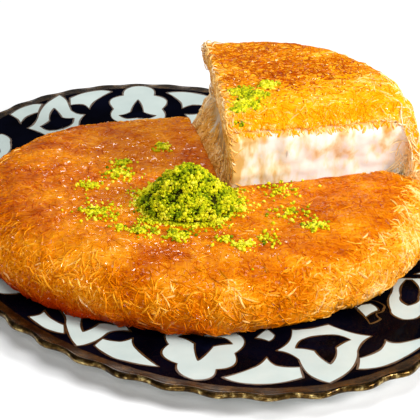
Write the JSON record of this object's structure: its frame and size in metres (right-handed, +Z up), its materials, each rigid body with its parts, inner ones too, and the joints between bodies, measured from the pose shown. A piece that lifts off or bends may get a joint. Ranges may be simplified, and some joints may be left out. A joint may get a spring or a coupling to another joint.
{
  "type": "kunafa on a platter",
  "caption": "Round shredded-pastry cheese cake on an oval scalloped platter, with one wedge lifted on stretched cheese and ground pistachio on top.",
  "frame": {"origin": "under the middle of the platter, on the plane that its foot ring stands on", "axes": "+Z up, +Y along the platter's long side"},
  "size_m": [0.2554, 0.372, 0.0796],
  "materials": {
    "glazed_porcelain": "dark blue and white glaze with a gilded rim, glossy",
    "baked_pastry": "shredded pastry baked orange-brown, syrup gloss",
    "melted_cheese": "stretched white cheese, moist",
    "ground_pistachio": "ground nuts, dry"
  },
  "bodies": {
    "root": {"platter": "glazed_porcelain", "cake_pastry": "baked_pastry", "cake_cheese": "melted_cheese", "gap_base_pastry": "baked_pastry", "slice_cheese": "melted_cheese", "slice_pastry": "baked_pastry", "pistachio_heap": "ground_pistachio"}
  },
  "joints": []
}
